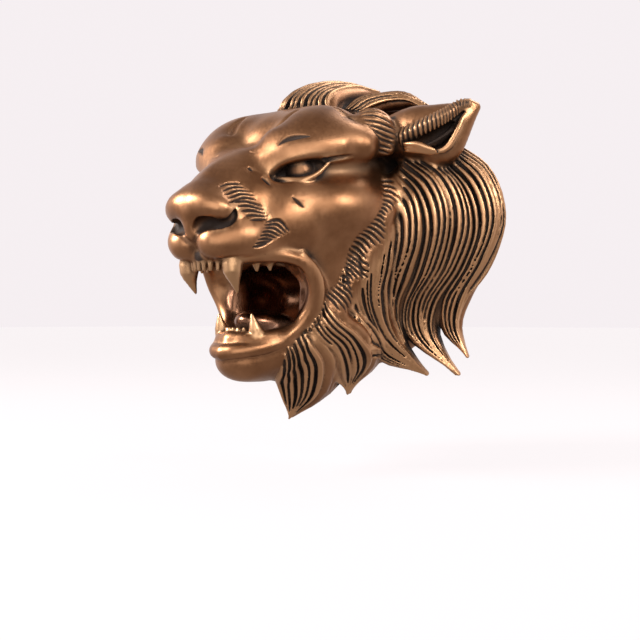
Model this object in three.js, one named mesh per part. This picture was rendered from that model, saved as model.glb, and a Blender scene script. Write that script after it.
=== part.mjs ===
// A lion head wall mask, roaring, with laid-back ears and a mane of carved locks. One casting with a flat back.
// It is modelled like clay: rolls and balls are pressed together on a grid of distances, and the skin is taken off.
// Inside the sculpt a place is (across, out from the wall, up) in mm, and only the right half is shaped.
import * as THREE from "three";

// Sizes of the whole mask
const MASK_WIDTH = 376;
const MASK_HEIGHT = 355;
const MASK_DEPTH = 264;

// Sizes of its parts, for a mask of the size above
const MOUTH_OPENING = 72;
const UPPER_FANG_LENGTH = 36;
const LOWER_FANG_LENGTH = 25;
const FANG_RADIUS = 9.5;
const EYEBALL_RADIUS = 17;
const EAR_THICKNESS = 30;
const EAR_HOLLOW = 17;
const BROW_THICKNESS = 19;
const LIP_THICKNESS = 8;
const NOSTRIL_RADIUS = 6.5;
const STRAND_RADIUS = 6;
const STRAND_CROWN = 4;
const LOCK_PAD_RADIUS = 9;

// The grid that the clay is pressed into, and how many triangles its skin is thinned out to
const GRID_STEP = 4.4;
const TRIANGLES = 9400;
const EVENNESS = 0.08;
const FAR = 60;

const DRAWN_WIDTH = 376;
const DRAWN_HEIGHT = 355;
const DRAWN_DEPTH = 264;
const LOW = [0, -1.5 * GRID_STEP, -204];
const HIGH = [208, 288, 204];
const COUNT = LOW.map((low, i) => Math.ceil((HIGH[i] - low) / GRID_STEP) + 1);
let field = new Float32Array(COUNT[0] * COUNT[1] * COUNT[2]).fill(FAR);

const radians = (degrees) => (degrees * Math.PI) / 180;
const mix = (a, b, t) => a.map((value, i) => value + (b[i] - value) * t);

// A ball stretched to three radii, turned about the vertical (yaw), then across (pitch), then in depth (roll)
function ball(centre, radii, yaw = 0, pitch = 0, roll = 0) {
  const turn = new THREE.Matrix4().makeRotationZ(radians(yaw));
  turn.multiply(new THREE.Matrix4().makeRotationX(radians(pitch)));
  turn.multiply(new THREE.Matrix4().makeRotationY(radians(roll)));
  const m = turn.elements;
  const spread = [0, 1, 2].map((i) =>
    Math.hypot(m[i] * radii[0], m[4 + i] * radii[1], m[8 + i] * radii[2]),
  );
  return {
    low: centre.map((value, i) => value - spread[i]),
    high: centre.map((value, i) => value + spread[i]),
    distance(x, d, z) {
      const q = [x - centre[0], d - centre[1], z - centre[2]];
      let near = 0;
      let slope = 0;
      for (let i = 0; i < 3; i++) {
        const w = (q[0] * m[4 * i] + q[1] * m[4 * i + 1] + q[2] * m[4 * i + 2]) / radii[i];
        near += w * w;
        slope += (w / radii[i]) ** 2;
      }
      near = Math.sqrt(near);
      return (near * (near - 1)) / (Math.sqrt(slope) + 1e-6);
    },
  };
}

// A straight piece of a roll, with a radius at each end
function link(a, b) {
  const ab = [b[0] - a[0], b[1] - a[1], b[2] - a[2]];
  const length = Math.max(ab[0] ** 2 + ab[1] ** 2 + ab[2] ** 2, 1e-6);
  const radius = Math.max(a[3], b[3]);
  return {
    low: [0, 1, 2].map((i) => Math.min(a[i], b[i]) - radius),
    high: [0, 1, 2].map((i) => Math.max(a[i], b[i]) + radius),
    distance(x, d, z) {
      const qx = x - a[0];
      const qd = d - a[1];
      const qz = z - a[2];
      const t = Math.min(1, Math.max(0, (qx * ab[0] + qd * ab[1] + qz * ab[2]) / length));
      const away = Math.hypot(qx - t * ab[0], qd - t * ab[1], qz - t * ab[2]);
      return away - a[3] - t * (b[3] - a[3]);
    },
  };
}

// Rows of numbers, evenly along a smooth curve through the given rows
function smooth(rows, count) {
  const first = rows[0].map((value, i) => 2 * value - rows[1][i]);
  const last = rows[rows.length - 1].map((value, i) => 2 * value - rows[rows.length - 2][i]);
  const p = [first, ...rows, last];
  const out = [];
  for (let k = 0; k < count; k++) {
    const t = (k * (rows.length - 1)) / (count - 1);
    const i = Math.min(Math.floor(t), rows.length - 2);
    const f = t - i;
    const [a, b, c, e] = [p[i], p[i + 1], p[i + 2], p[i + 3]];
    out.push(
      b.map((value, j) => {
        const bend = 2 * a[j] - 5 * value + 4 * c[j] - e[j];
        const twist = 3 * value - a[j] - 3 * c[j] + e[j];
        return value + 0.5 * ((c[j] - a[j]) * f + bend * f * f + twist * f ** 3);
      }),
    );
  }
  return out;
}

function links(rows) {
  return rows.slice(1).map((row, i) => link(rows[i], row));
}

// A roll of clay along a smooth curve through rows of (across, out, up, radius)
function roll(...rows) {
  let span = 0;
  for (let i = 1; i < rows.length; i++)
    span += Math.hypot(...[0, 1, 2].map((j) => rows[i][j] - rows[i - 1][j]));
  return links(smooth(rows, Math.max(2, Math.floor(span / 6) + 2)));
}

// An outline of (out, up) run right across the mask, its corners rounded
function slab(outline, round) {
  const outs = outline.map((p) => p[0]);
  const ups = outline.map((p) => p[1]);
  return {
    low: [LOW[0], Math.min(...outs) - round, Math.min(...ups) - round],
    high: [HIGH[0], Math.max(...outs) + round, Math.max(...ups) + round],
    distance(x, d, z) {
      let best = Infinity;
      let inside = false;
      outline.forEach((a, i) => {
        const b = outline[(i + 1) % outline.length];
        const e = [b[0] - a[0], b[1] - a[1]];
        const w = [d - a[0], z - a[1]];
        const t = Math.min(1, Math.max(0, (w[0] * e[0] + w[1] * e[1]) / (e[0] ** 2 + e[1] ** 2)));
        best = Math.min(best, Math.hypot(w[0] - t * e[0], w[1] - t * e[1]));
        if (a[1] > z !== b[1] > z && d < (e[0] * (z - a[1])) / e[1] + a[0]) inside = !inside;
      });
      return (inside ? -best : best) - round;
    },
  };
}

// The smaller of two distances, with a fillet where the two are close
function melt(a, b, blend) {
  if (blend <= 0) return Math.min(a, b);
  const h = Math.max(blend - Math.abs(a - b), 0) / blend;
  return Math.min(a, b) - h * h * blend * 0.25;
}

// Presses shapes into the clay (side 1) or cuts them out (side -1)
function knead(shapes, blend, side, mirrored = false) {
  const list = shapes.flat(Infinity);
  const reach = blend + 8;
  const near = new Float32Array(field.length).fill(FAR);
  const low = [Infinity, Infinity, Infinity];
  const high = [-Infinity, -Infinity, -Infinity];
  for (const shape of list) {
    const a = [...shape.low];
    const b = [...shape.high];
    if (mirrored) [a[0], b[0]] = [-shape.high[0], -shape.low[0]];
    const from = a.map((v, i) => Math.max(0, Math.floor((v - reach - LOW[i]) / GRID_STEP)));
    const to = b.map((v, i) => Math.min(COUNT[i] - 1, Math.ceil((v + reach - LOW[i]) / GRID_STEP)));
    for (let i = 0; i < 3; i++) {
      low[i] = Math.min(low[i], from[i]);
      high[i] = Math.max(high[i], to[i]);
    }
    for (let i = from[0]; i <= to[0]; i++)
      for (let j = from[1]; j <= to[1]; j++)
        for (let k = from[2]; k <= to[2]; k++) {
          const at = (i * COUNT[1] + j) * COUNT[2] + k;
          const x = LOW[0] + i * GRID_STEP;
          const d = LOW[1] + j * GRID_STEP;
          const z = LOW[2] + k * GRID_STEP;
          near[at] = Math.min(near[at], shape.distance(mirrored ? -x : x, d, z));
        }
  }
  for (let i = low[0]; i <= high[0]; i++)
    for (let j = low[1]; j <= high[1]; j++)
      for (let k = low[2]; k <= high[2]; k++) {
        const at = (i * COUNT[1] + j) * COUNT[2] + k;
        field[at] = side * melt(side * field[at], near[at], blend);
      }
}

const add = (shape, blend) => knead([shape], blend, 1);
const cut = (shape, blend) => knead([shape], blend, -1);

function pair(shape, blend) {
  knead([shape], blend, 1);
  knead([shape], blend, 1, true);
}

function cutPair(shape, blend) {
  knead([shape], blend, -1);
  knead([shape], blend, -1, true);
}

function head() {
  add(ball([0, 0, -2], [138, 70, 132]), 0);
  pair(ball([84, 6, 24], [76, 50, 96]), 20);
  add(ball([0, 60, -66], [74, 72, 80]), 26);
  add(ball([0, 84, 66], [90, 86, 66]), 24);
  // forehead, cheekbone, cheek and jaw corner
  add(ball([0, 112, 86], [78, 62, 50], 0, -20), 20);
  pair(ball([54, 100, 32], [57, 76, 44], -10), 20);
  pair(ball([48, 106, -12], [36, 58, 44]), 20);
  pair(ball([48, 110, -56], [25, 44, 44]), 16);
  // the bridge from the muzzle to the cheek
  pair(ball([44, 156, 16], [28, 50, 36], -12), 20);
  pair(ball([42, 160, 38], [30, 32, 32]), 18);
  pair(roll([30, 200, 44, 14], [46, 184, 30, 14], [58, 168, 10, 14]), 16);
}

function muzzle() {
  add(roll([0, 140, 54, 42], [0, 180, 38, 40], [0, 216, 18, 35]), 16);
  pair(roll([22, 178, 48, 25], [24, 218, 26, 23]), 14);
  pair(ball([31, 208, 0], [28, 44, 27], 12), 10);
  pair(ball([17, 230, -4], [19, 23, 19]), 8);
}

function brow() {
  const t = BROW_THICKNESS;
  pair(
    roll(
      [13, 190, 62, 0.63 * t],
      [30, 180, 78, 0.9 * t],
      [54, 166, 88, t],
      [80, 142, 91, 0.9 * t],
      [100, 118, 88, 0.58 * t],
    ),
    20,
  );
  // the forehead's two halves, and the tuft of hair between each and the ear
  pair(ball([46, 118, 110], [46, 50, 30], -14, 0, -6), 5);
  pair(roll([56, 98, 120, 18], [80, 96, 114, 20], [95, 91, 102, 16], [101, 86, 90, 10]), 5);
}

function nose() {
  const r = NOSTRIL_RADIUS;
  add(ball([0, 238, 27], [35, 26, 18]), 8);
  pair(roll([9, 255, 27, 11], [20, 252, 26, 12], [29, 245, 24, 11], [35, 236, 22, 8]), 6);
  add(roll([0, 255, 22, 10], [0, 251, 4, 8], [0, 245, -4, 6]), 6);
  cutPair(
    roll([9, 264, 5, 0.6 * r], [15, 257, 9, r], [22, 253, 11, r], [30, 249, 10, 0.6 * r], [37, 243, 14, 0.5 * r]),
    2,
  );
}

function jaw() {
  const drop = MOUTH_OPENING - 72;
  pair(
    roll([50, 122, -80, 24], [42, 158, -106 - drop, 23], [24, 188, -117 - drop, 19]),
    14,
  );
  add(ball([0, 182, -116 - drop], [38, 31, 22]), 10);
  add(roll([0, 150, -108 - drop, 28], [0, 100, -95, 50]), 20);
}

function mouth() {
  const top = -28;
  const floor = top - MOUTH_OPENING;
  cut(
    slab(
      [
        [150, top - 18],
        [168, top],
        [205, top + 8],
        [290, top - 4],
        [290, floor - 10],
        [190, floor + 5],
        [168, floor + 16],
        [154, floor + 32],
      ],
      4,
    ),
    3,
  );
  cut(ball([0, 138, top - 0.39 * MOUTH_OPENING], [52, 62, 0.49 * MOUTH_OPENING]), 4);
}

function lips() {
  const t = LIP_THICKNESS;
  const low = 72 - MOUTH_OPENING;
  pair(
    roll(
      [34, 226, -19, 0.65 * t],
      [48, 206, -17, 0.8 * t],
      [58, 186, -17, 0.9 * t],
      [67, 168, -24, t],
      [71, 156, -42, 1.1 * t],
      [67, 150, -62, 1.1 * t],
      [57, 156, -82 + low, t],
      [47, 170, -97 + low, 0.9 * t],
    ),
    7,
  );
  pair(
    roll(
      [47, 166, -97 + low, 0.8 * t],
      [40, 190, -104 + low, 0.9 * t],
      [24, 208, -107 + low, 0.9 * t],
      [0, 214, -108 + low, 0.9 * t],
    ),
    3,
  );
  // gums under and over the teeth, and the tongue
  pair(roll([40, 158, -90 + low, 8], [33, 182, -95 + low, 9], [0, 203, -97 + low, 9]), 4);
  pair(roll([40, 190, -18, 8], [30, 222, -16, 8], [14, 236, -16, 7], [0, 239, -16, 7]), 4);
  add(ball([0, 146, -84 + low], [27, 44, 16], 0, 10), 6);
}

function teeth() {
  const low = 72 - MOUTH_OPENING;
  const r = FANG_RADIUS;
  const tip = -19 - UPPER_FANG_LENGTH;
  const point = -97 + low + LOWER_FANG_LENGTH;
  pair(roll([28, 228, -14, r], [29, 230, -28, r], [29, 227, 0.6 * tip - 11, 0.55 * r], [28, 221, tip, 1.5]), 1);
  pair(roll([26, 188, -98 + low, r], [25, 194, point - 13, 0.75 * r], [24, 198, point, 1.5]), 1);
  // the front teeth stand too close for this grid, so each row is one ridge
  pair(roll([0, 241, -22, 5], [17, 235, -22, 5]), 1);
  pair(roll([0, 202, -90 + low, 4.5], [14, 198, -90 + low, 4.5]), 1);
  pair(roll([42, 194, -14, 9], [42, 194, -34, 2.5]), 1);
}

function eyes() {
  const r = EYEBALL_RADIUS;
  cutPair(ball([66, 176, 66], [31, 15, 12], -28, 0, -20), 5);
  pair(ball([63, 154, 66], [r, r, 0.9 * r]), 1);
  pair(roll([38, 182, 58, 2.5], [50, 182, 70, 4.5], [68, 172, 79, 5], [92, 152, 80, 3]), 5);
  pair(roll([38, 182, 57, 2.5], [54, 178, 54, 4], [74, 166, 58, 4], [92, 152, 74, 2.5]), 4);
}

function ears() {
  const t = EAR_THICKNESS;
  const h = EAR_HOLLOW;
  pair(
    roll([92, 60, 112, 0.87 * t], [120, 54, 118, t], [148, 48, 124, 0.8 * t], [168, 43, 131, 0.4 * t], [178, 40, 135, 4]),
    6,
  );
  cutPair(roll([112, 96, 92, 0.6 * h], [130, 84, 100, h], [152, 68, 112, 0.88 * h], [168, 54, 124, 0.4 * h]), 2);
}

// Each lock lies between two edges, given by a few places along them, and is laid with this many strands.
const SIDE_EDGES = [
  [[147, 34, 92], [174, 24, 68], [186, 17, 29], [171, 15, -12], [147, 14, -49], [136, 13, -82], [145, 9, -114]],
  [[132, 46, 84], [161, 36, 51], [167, 30, 12], [150, 27, -25], [124, 24, -59], [122, 18, -88], [145, 9, -114]],
  [[114, 66, 84], [142, 58, 62], [153, 52, 26], [138, 46, -19], [108, 40, -57], [106, 32, -94], [137, 12, -132]],
  [[107, 76, 69], [128, 72, 46], [135, 68, 11], [118, 60, -29], [95, 52, -62], [95, 42, -95], [134, 12, -132]],
  [[102, 86, 41], [113, 84, 16], [105, 80, -16], [88, 76, -42], [82, 66, -69], [92, 48, -99]],
];
const THROAT_EDGES = [
  [[102, 86, 41], [112, 85, 16], [101, 81, -16], [87, 76, -46], [88, 62, -85], [104, 22, -132]],
  [[93, 100, 13], [99, 98, -10], [91, 94, -36], [86, 86, -62], [89, 64, -95], [104, 22, -132]],
  [[81, 116, -12], [83, 112, -34], [79, 104, -55], [78, 90, -80], [85, 64, -107], [104, 22, -132]],
  [[67, 126, -36], [68, 122, -53], [69, 112, -73], [70, 94, -96], [78, 60, -120], [104, 22, -132]],
];
const BEARD_EDGES = [
  [[57, 130, -57], [71, 122, -75], [84, 104, -92], [81, 84, -115], [40, 70, -151]],
  [[48, 132, -69], [61, 126, -87], [70, 112, -102], [62, 92, -125], [40, 70, -151]],
  [[41, 136, -79], [52, 130, -95], [60, 120, -107], [48, 98, -129], [40, 70, -151]],
];
const LONG_BEARD_EDGES = [
  [[35, 138, -87], [50, 134, -103], [56, 126, -118], [37, 116, -151], [-3, 111, -177]],
  [[14, 150, -104], [6, 142, -120], [0, 134, -136], [-1, 124, -155], [-3, 111, -177]],
];
const SHORT_BEARD_EDGES = [
  [[-35, 138, -87], [-50, 134, -103], [-48, 124, -118], [-26, 112, -138]],
  [[-2, 146, -106], [-8, 138, -118], [-14, 126, -128], [-26, 112, -138]],
];
const CREST_EDGES = [
  [[3, 124, 134], [2, 114, 150], [2, 90, 163], [3, 62, 170], [6, 30, 173], [10, 6, 173]],
  [[36, 96, 134], [32, 92, 147], [30, 78, 155], [30, 58, 161], [31, 34, 165], [34, 8, 167]],
];
const SHOULDER_EDGES = [
  [[50, 74, 139], [62, 54, 151], [82, 38, 160], [99, 28, 160], [120, 20, 150]],
  [[68, 74, 135], [77, 60, 145], [88, 46, 152], [99, 36, 153], [110, 28, 146]],
];

const STRANDS_PER_LOCK = 3;

// Points lie deeper in the clay by this much along the way toward the wall
function sink(place, depth) {
  const inward = new THREE.Vector3(place[0] * 0.004, 1, place[2] * 0.002).normalize();
  return [place[0] - inward.x * depth, place[1] - inward.y * depth, place[2] - inward.z * depth];
}

function lock(edgeA, edgeB, strands, layers, press = pair) {
  const count = edgeA.length * 3;
  const a = smooth(edgeA, count);
  const b = smooth(edgeB, count);
  const pads = [];
  for (let layer = 0; layer < layers; layer++)
    for (const s of [0.25, 0.75]) {
      const rows = a.map((place, j) => {
        const left = 1 - j / (count - 1);
        const gap = Math.hypot(...place.map((v, i) => v - b[j][i]));
        const radius = Math.min(LOCK_PAD_RADIUS, 0.5 * gap + 2.5) * Math.min(1, 0.4 + 2.2 * left);
        const depth = radius + 10 * layer * Math.min(1, 3 * left);
        return [...sink(mix(place, b[j], s), depth), radius];
      });
      pads.push(links(rows));
    }
  press(pads, 4);
  const ridges = [];
  for (let i = 0; i < strands; i++) {
    const s = (i + 0.5) / strands;
    const rows = a.map((place, j) => {
      const t = j / (count - 1);
      const gap = Math.hypot(...place.map((v, k) => v - b[j][k])) / strands;
      const taper = Math.min(1, 0.4 + 4 * t) * Math.min(1, 0.4 + 3 * (1 - t));
      const radius = Math.max(2.6, Math.min(STRAND_RADIUS, 0.56 * gap) * taper);
      return [...sink(mix(place, b[j], s), -STRAND_CROWN * (1 - (2 * s - 1) ** 2)), radius];
    });
    ridges.push(links(rows));
  }
  press(ridges, 1);
}

function mane() {
  for (const edges of [SIDE_EDGES, THROAT_EDGES, BEARD_EDGES])
    for (let i = 1; i < edges.length; i++) lock(edges[i - 1], edges[i], STRANDS_PER_LOCK - 1, 4);
  lock(CREST_EDGES[0], CREST_EDGES[1], STRANDS_PER_LOCK, 3);
  lock(SHOULDER_EDGES[0], SHOULDER_EDGES[1], STRANDS_PER_LOCK - 1, 3);
}

// The beard's long lock sweeps from one side to the middle, and the other side has a short one.
function beard() {
  lock(LONG_BEARD_EDGES[0], LONG_BEARD_EDGES[1], STRANDS_PER_LOCK, 2, add);
  lock(SHORT_BEARD_EDGES[0], SHORT_BEARD_EDGES[1], STRANDS_PER_LOCK, 2, add);
}

// Opens the right half out into the whole mask
function unfold() {
  const half = field;
  const across = COUNT[0];
  LOW[0] = -(across - 1) * GRID_STEP;
  COUNT[0] = 2 * across - 1;
  const layer = COUNT[1] * COUNT[2];
  field = new Float32Array(COUNT[0] * layer);
  for (let i = 0; i < COUNT[0]; i++) {
    const from = Math.abs(i - across + 1) * layer;
    field.set(half.subarray(from, from + layer), i * layer);
  }
}

// Cuts the clay off flat at the wall
function flatten() {
  for (let i = 0; i < field.length; i++) {
    const out = LOW[1] + (Math.floor(i / COUNT[2]) % COUNT[1]) * GRID_STEP;
    field[i] = Math.max(field[i], -out);
  }
}

// The skin where the distance is zero, found in the six corner-to-corner wedges of each cell
function skin() {
  const steps = [COUNT[1] * COUNT[2], COUNT[2], 1];
  const orders = [
    [0, 1, 2],
    [1, 2, 0],
    [2, 0, 1],
    [0, 2, 1],
    [2, 1, 0],
    [1, 0, 2],
  ];
  const place = (at) => [
    LOW[0] + Math.floor(at / steps[0]) * GRID_STEP,
    LOW[1] + (Math.floor(at / COUNT[2]) % COUNT[1]) * GRID_STEP,
    LOW[2] + (at % COUNT[2]) * GRID_STEP,
  ];
  const points = [];
  const triangles = [];
  const known = new Map();
  const crossing = (a, b) => {
    const key = Math.min(a, b) * field.length + Math.max(a, b);
    if (!known.has(key)) {
      const t = field[a] / (field[a] - field[b]);
      known.set(key, points.length);
      points.push(mix(place(a), place(b), Math.min(0.98, Math.max(0.02, t))));
    }
    return known.get(key);
  };
  // which way a face turns is read off the middles of the grid lines it crosses, which never fall together
  const face = (edges, from, to) => {
    const middles = edges.map(([a, b]) => new THREE.Vector3(...mix(place(a), place(b), 0.5)));
    const normal = middles[1].sub(middles[0]).cross(middles[2].sub(middles[0]));
    const out = new THREE.Vector3(...place(to)).sub(new THREE.Vector3(...place(from)));
    const ids = edges.map(([a, b]) => crossing(a, b));
    triangles.push(normal.dot(out) > 0 ? ids : [ids[0], ids[2], ids[1]]);
  };
  for (let i = 0; i < COUNT[0] - 1; i++)
    for (let j = 0; j < COUNT[1] - 1; j++)
      for (let k = 0; k < COUNT[2] - 1; k++) {
        const corner = i * steps[0] + j * steps[1] + k;
        const far = corner + steps[0] + steps[1] + 1;
        if (Math.abs(field[corner]) > 2 * GRID_STEP) continue;
        for (const order of orders) {
          const second = corner + steps[order[0]];
          const wedge = [corner, second, second + steps[order[1]], far];
          const inside = wedge.filter((at) => field[at] < 0);
          const outside = wedge.filter((at) => field[at] >= 0);
          if (!inside.length || !outside.length) continue;
          if (inside.length === 2) {
            const [a, b] = inside;
            const [c, e] = outside;
            face([[a, c], [b, c], [b, e]], a, c);
            face([[a, c], [b, e], [a, e]], a, c);
          } else {
            const single = inside.length === 1 ? inside[0] : outside[0];
            const others = inside.length === 1 ? outside : inside;
            const edges = others.map((other) => [single, other]);
            if (inside.length === 1) face(edges, single, others[0]);
            else face(edges, others[0], single);
          }
        }
      }
  return { points, triangles };
}

// The triangles of the largest closed surface alone, so that no loose crumb of clay is kept
function largest({ points, triangles }) {
  const parent = points.map((_, i) => i);
  const root = (i) => {
    while (parent[i] !== i) {
      parent[i] = parent[parent[i]];
      i = parent[i];
    }
    return i;
  };
  for (const [a, b, c] of triangles) {
    parent[root(a)] = root(b);
    parent[root(b)] = root(c);
  }
  const tally = new Map();
  for (const [a] of triangles) tally.set(root(a), (tally.get(root(a)) || 0) + 1);
  const best = [...tally].sort((a, b) => b[1] - a[1])[0][0];
  return { points, triangles: triangles.filter(([a]) => root(a) === best) };
}

// A heap of edges, the cheapest one first
class Queue {
  items = [];

  push(item) {
    const list = this.items;
    let i = list.length;
    list.push(item);
    while (i > 0) {
      const up = (i - 1) >> 1;
      if (list[up].cost <= item.cost) break;
      list[i] = list[up];
      i = up;
    }
    list[i] = item;
  }

  pop() {
    const list = this.items;
    const first = list[0];
    const item = list.pop();
    if (!list.length) return first;
    let i = 0;
    for (;;) {
      let down = 2 * i + 1;
      if (down >= list.length) break;
      if (down + 1 < list.length && list[down + 1].cost < list[down].cost) down += 1;
      if (list[down].cost >= item.cost) break;
      list[i] = list[down];
      i = down;
    }
    list[i] = item;
    return first;
  }
}

// Thins the skin to a number of triangles, each time at the edge whose loss bends it least
class Thinner {
  constructor({ points, triangles }) {
    this.place = Float64Array.from(points.flat());
    this.corners = Int32Array.from(triangles.flat());
    this.count = triangles.length;
    this.around = points.map(() => []);
    this.age = new Int32Array(points.length);
    this.mark = new Int32Array(points.length);
    this.round = 0;
    this.gone = new Uint8Array(triangles.length);
    this.flat = Uint8Array.from(points, (p) => Math.abs(p[1]) < 0.01);
    this.queue = new Queue();
    for (let i = 0; i < this.corners.length; i++) this.around[this.corners[i]].push(Math.floor(i / 3));
    this.weigh(points);
  }

  // Ten sums for each point give the squared distance from any place to the planes that meet there,
  // and a little of the distance to the point itself, which keeps the faces even.
  weigh(points) {
    this.sums = new Float64Array(10 * points.length);
    for (let n = 0; n < this.count; n++) {
      const [x, y, z] = this.normal(n, -1, null);
      const area = Math.hypot(x, y, z) + 1e-9;
      const at = 3 * this.corners[3 * n];
      const w = -(x * this.place[at] + y * this.place[at + 1] + z * this.place[at + 2]);
      for (let i = 0; i < 3; i++) this.gather(this.corners[3 * n + i], x, y, z, w, 1 / area);
    }
    points.forEach(([x, y, z], i) => {
      this.gather(i, 1, 0, 0, -x, EVENNESS);
      this.gather(i, 0, 1, 0, -y, EVENNESS);
      this.gather(i, 0, 0, 1, -z, EVENNESS);
    });
  }

  gather(point, x, y, z, w, weight) {
    const s = this.sums;
    const at = 10 * point;
    s[at] += weight * x * x;
    s[at + 1] += weight * x * y;
    s[at + 2] += weight * x * z;
    s[at + 3] += weight * x * w;
    s[at + 4] += weight * y * y;
    s[at + 5] += weight * y * z;
    s[at + 6] += weight * y * w;
    s[at + 7] += weight * z * z;
    s[at + 8] += weight * z * w;
    s[at + 9] += weight * w * w;
  }

  // The normal of a triangle, twice its area long, with one of its points moved to a spot
  normal(n, moved, spot) {
    const p = [];
    for (let i = 0; i < 3; i++) {
      const v = this.corners[3 * n + i];
      if (v === moved) p.push(spot[0], spot[1], spot[2]);
      else p.push(this.place[3 * v], this.place[3 * v + 1], this.place[3 * v + 2]);
    }
    const [ax, ay, az] = [p[3] - p[0], p[4] - p[1], p[5] - p[2]];
    const [bx, by, bz] = [p[6] - p[0], p[7] - p[1], p[8] - p[2]];
    const longest = Math.max(
      ax * ax + ay * ay + az * az,
      bx * bx + by * by + bz * bz,
      (ax - bx) ** 2 + (ay - by) ** 2 + (az - bz) ** 2,
    );
    return [ay * bz - az * by, az * bx - ax * bz, ax * by - ay * bx, longest];
  }

  // Puts the edge between two points in the queue, with the spot it would shrink to
  offer(a, b) {
    const s = this.sums;
    const q = [];
    for (let i = 0; i < 10; i++) q.push(s[10 * a + i] + s[10 * b + i]);
    const p = this.place;
    const middle = [0, 1, 2].map((i) => (p[3 * a + i] + p[3 * b + i]) / 2);
    let spot;
    if (this.flat[a] !== this.flat[b]) {
      const kept = 3 * (this.flat[a] ? a : b);
      spot = [p[kept], p[kept + 1], p[kept + 2]];
    } else {
      const c0 = q[4] * q[7] - q[5] * q[5];
      const c1 = q[2] * q[5] - q[1] * q[7];
      const c2 = q[1] * q[5] - q[2] * q[4];
      const c3 = q[0] * q[7] - q[2] * q[2];
      const c4 = q[1] * q[2] - q[0] * q[5];
      const c5 = q[0] * q[4] - q[1] * q[1];
      const whole = q[0] * c0 + q[1] * c1 + q[2] * c2;
      spot = [
        -(c0 * q[3] + c1 * q[6] + c2 * q[8]) / whole,
        -(c1 * q[3] + c3 * q[6] + c4 * q[8]) / whole,
        -(c2 * q[3] + c4 * q[6] + c5 * q[8]) / whole,
      ];
      spot[1] = this.flat[a] ? 0 : Math.max(0, spot[1]);
      const length = Math.hypot(p[3 * a] - middle[0], p[3 * a + 1] - middle[1], p[3 * a + 2] - middle[2]);
      const away = Math.hypot(spot[0] - middle[0], spot[1] - middle[1], spot[2] - middle[2]);
      if (!(away < 2 * length + GRID_STEP)) spot = middle;
    }
    const [x, y, z] = spot;
    const across = x * (q[0] * x + 2 * (q[1] * y + q[2] * z + q[3]));
    const out = y * (q[4] * y + 2 * (q[5] * z + q[6]));
    const up = z * (q[7] * z + 2 * q[8]);
    this.queue.push({ cost: across + out + up + q[9], a, b, ages: this.age[a] + this.age[b], spot });
  }

  offerAll() {
    for (let n = 0; n < this.gone.length; n++)
      for (let i = 0; i < 3 && !this.gone[n]; i++) {
        const a = this.corners[3 * n + i];
        const b = this.corners[3 * n + ((i + 1) % 3)];
        if (a < b) this.offer(a, b);
      }
  }

  // The points next to a point, each once
  neighbours(point) {
    this.round += 1;
    const found = [];
    this.mark[point] = this.round;
    for (const n of this.around[point])
      for (let i = 0; i < 3; i++) {
        const v = this.corners[3 * n + i];
        if (this.mark[v] === this.round) continue;
        this.mark[v] = this.round;
        found.push(v);
      }
    return found;
  }

  has(n, point) {
    return [0, 1, 2].some((i) => this.corners[3 * n + i] === point);
  }

  // True if moving a point to the spot would fold a face over or make a sliver of it
  folds(point, other, spot, strict) {
    for (const n of this.around[point]) {
      if (this.has(n, other)) continue;
      const [ax, ay, az] = this.normal(n, -1, null);
      const [bx, by, bz, longest] = this.normal(n, point, spot);
      const size = Math.hypot(bx, by, bz);
      if (ax * bx + ay * by + az * bz < strict * Math.hypot(ax, ay, az) * size) return true;
      if (size < 0.3 * strict * longest) return true;
    }
    return false;
  }

  // Two points may become one only where exactly two others are next to both
  joins(a, b) {
    const nearB = this.neighbours(b);
    this.neighbours(a);
    if (this.mark[b] !== this.round) return false;
    return nearB.filter((v) => v !== a && this.mark[v] === this.round).length === 2;
  }

  shrink(a, b, spot) {
    const touched = this.neighbours(b);
    for (const n of this.around[b]) {
      if (this.has(n, a)) {
        this.gone[n] = 1;
        this.count -= 1;
        continue;
      }
      for (let i = 0; i < 3; i++) if (this.corners[3 * n + i] === b) this.corners[3 * n + i] = a;
      this.around[a].push(n);
    }
    for (const v of touched) this.around[v] = this.around[v].filter((n) => !this.gone[n]);
    this.around[b] = [];
    this.place.set(spot, 3 * a);
    this.flat[a] = Math.max(this.flat[a], this.flat[b]);
    for (let i = 0; i < 10; i++) this.sums[10 * a + i] += this.sums[10 * b + i];
    this.age[a] += 1 + this.age[b];
    for (const v of this.neighbours(a)) this.offer(Math.min(a, v), Math.max(a, v));
  }

  run(target) {
    let strict = 0.3;
    while (this.count > target && strict > 0.02) {
      // edges that could not go at first are tried again, less strictly
      if (!this.queue.items.length) {
        this.offerAll();
        strict *= 0.6;
      }
      const { a, b, ages, spot } = this.queue.pop();
      if (ages !== this.age[a] + this.age[b] || !this.around[b].length || !this.joins(a, b)) continue;
      if (this.folds(a, b, spot, strict) || this.folds(b, a, spot, strict)) continue;
      this.shrink(a, b, spot);
    }
  }

  // The points and triangles that are left, as flat lists
  result() {
    const order = new Map();
    const index = [];
    for (let n = 0; n < this.gone.length; n++)
      for (let i = 0; i < 3 && !this.gone[n]; i++) {
        const v = this.corners[3 * n + i];
        if (!order.has(v)) order.set(v, order.size);
        index.push(order.get(v));
      }
    return { places: [...order.keys()].map((v) => [...this.place.slice(3 * v, 3 * v + 3)]), index };
  }
}

head();
muzzle();
brow();
nose();
jaw();
mouth();
lips();
teeth();
eyes();
mane();
ears();
unfold();
beard();
flatten();

const thinner = new Thinner(largest(skin()));
thinner.run(TRIANGLES);
const { places, index } = thinner.result();
const positions = places.flatMap(([x, out, up]) => [
  (x * MASK_WIDTH) / DRAWN_WIDTH,
  (-out * MASK_DEPTH) / DRAWN_DEPTH,
  (up * MASK_HEIGHT) / DRAWN_HEIGHT,
]);
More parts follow.
